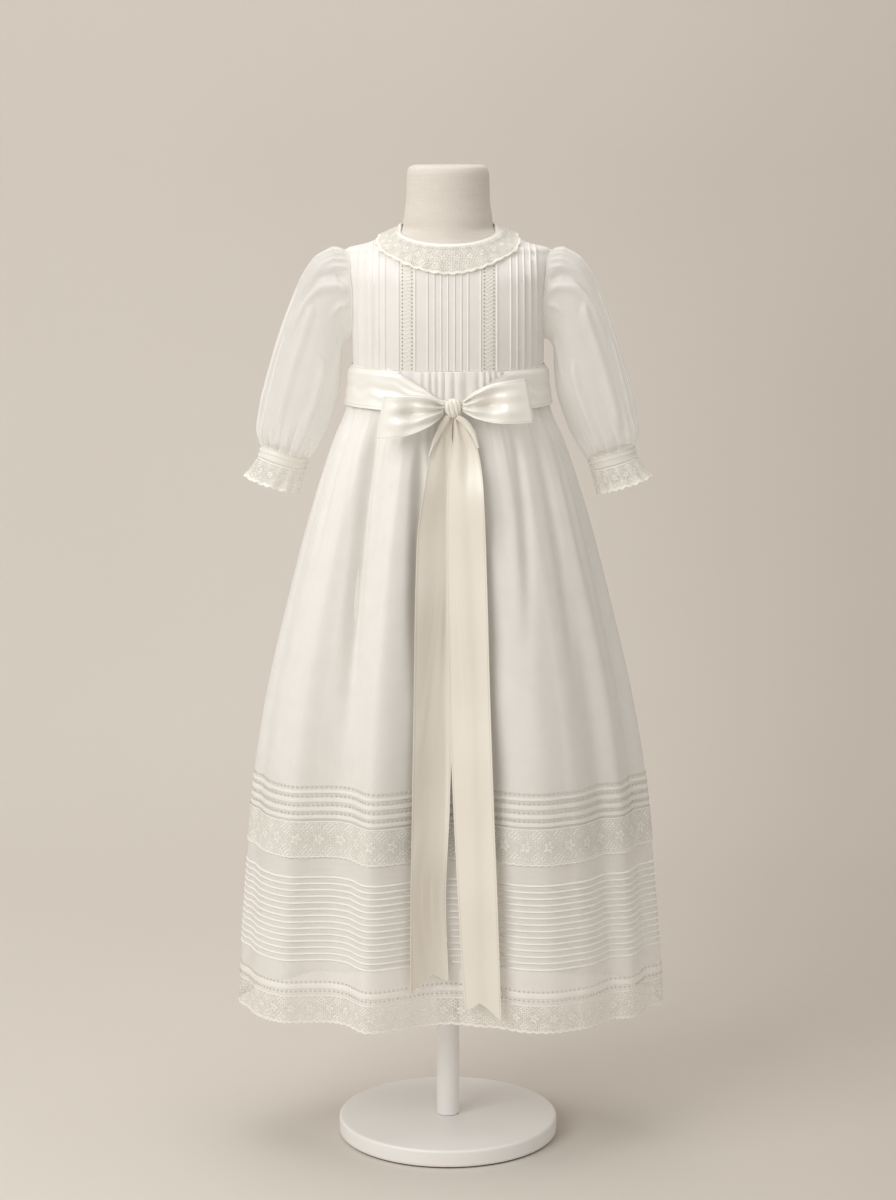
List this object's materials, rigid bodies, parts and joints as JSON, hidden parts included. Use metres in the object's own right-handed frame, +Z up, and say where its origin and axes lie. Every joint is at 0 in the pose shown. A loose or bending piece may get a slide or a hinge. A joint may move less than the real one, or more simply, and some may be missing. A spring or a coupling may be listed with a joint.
{
  "type": "christening gown on a dress form",
  "caption": "Long-sleeved christening gown with tucked bodice, lace collar, satin sash with bow and tucked, lace-edged skirt, on a limbless dress form with pole and round base.",
  "frame": {"origin": "centre of the stand's underside, where it rests on the floor", "axes": "+Z up along the pole, the gown's front faces -Y, +X is to the right of someone looking at the front"},
  "size_m": [0.4121, 0.224, 0.948],
  "materials": {
    "organza": "sheer fine cotton organza",
    "lining": "opaque plain cotton lawn",
    "lace": "fine cotton net lace",
    "satin": "smooth satin ribbon",
    "form_linen": "stretched linen",
    "stand_paint": "white satin powder coat",
    "foot_rubber": "matt",
    "pearl": "pearly"
  },
  "bodies": {
    "root": {"stand_foot_pad": "foot_rubber", "stand_base": "stand_paint", "stand_pole": "stand_paint", "dress_form": "form_linen", "bodice_front": "organza", "bodice_back_left": "organza", "bodice_back_right": "organza", "back_button_1": "pearl", "back_button_2": "pearl", "back_button_3": "pearl", "back_button_4": "pearl", "neckband": "satin", "collar": "lace", "sleeve_left": "organza", "sleeve_right": "organza", "cuff_left": "satin", "cuff_right": "satin", "cuff_frill_left": "lace", "cuff_frill_right": "lace", "lining_front": "lining", "lining_back": "lining", "skirt_front": "organza", "skirt_back": "organza", "lace_band_front": "lace", "lace_band_back": "lace", "tucked_panel_front": "organza", "tucked_panel_back": "organza", "hem_lace_front": "lace", "hem_lace_back": "lace", "sash": "satin", "bow_knot": "satin", "bow_loop_left": "satin", "bow_loop_right": "satin", "sash_tail_left": "satin", "sash_tail_right": "satin"}
  },
  "joints": []
}
